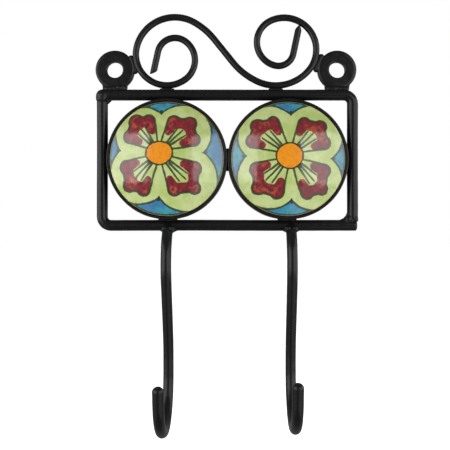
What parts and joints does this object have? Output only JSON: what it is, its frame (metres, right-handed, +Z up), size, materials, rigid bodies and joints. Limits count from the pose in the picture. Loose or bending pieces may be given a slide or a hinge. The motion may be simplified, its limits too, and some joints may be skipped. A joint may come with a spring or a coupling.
{
  "type": "wall hook plate",
  "caption": "Black iron wall hook plate: a welded rod frame holds domed painted ceramic discs, with a wire scroll and screw lugs on top and long coat hooks below.",
  "frame": {"origin": "midway between the two screw holes, on the face of the wall that the back of the frame lies against", "axes": "+X right as seen from the room, +Y back into the wall, +Z up; the hooks stand out towards -Y"},
  "size_m": [0.1181, 0.0432, 0.1839],
  "materials": {
    "black_paint": "satin black paint over iron rod",
    "weld_paint": "satin black paint over rough weld metal",
    "back_sheet": "black paint over sheet iron",
    "disc_glue": "set glue",
    "painted_glaze": "clear gloss glaze over a painted flower"
  },
  "bodies": {
    "root": {"frame_rod_upper": "black_paint", "frame_rod_lower": "black_paint", "scroll": "black_paint", "lug_left": "black_paint", "lug_right": "black_paint", "ring_left": "black_paint", "ring_right": "black_paint", "back_plate_left": "back_sheet", "back_plate_right": "back_sheet", "adhesive_left": "disc_glue", "adhesive_right": "disc_glue", "ceramic_disc_left": "painted_glaze", "ceramic_disc_right": "painted_glaze", "hook_left": "black_paint", "hook_right": "black_paint", "corner_weld_top": "weld_paint", "corner_weld_bottom": "weld_paint", "lug_rail_weld_left": "weld_paint", "lug_rail_weld_right": "weld_paint", "lug_scroll_weld_left": "weld_paint", "lug_scroll_weld_right": "weld_paint", "scroll_rail_weld_left": "weld_paint", "scroll_rail_weld_right": "weld_paint", "hook_weld_left": "weld_paint", "hook_weld_right": "weld_paint", "ring_weld_top_left": "weld_paint", "ring_weld_top_right": "weld_paint", "ring_weld_bottom_left": "weld_paint", "ring_weld_bottom_right": "weld_paint", "ring_weld_side_left": "weld_paint", "ring_weld_side_right": "weld_paint", "ring_weld_middle": "weld_paint"}
  },
  "joints": []
}
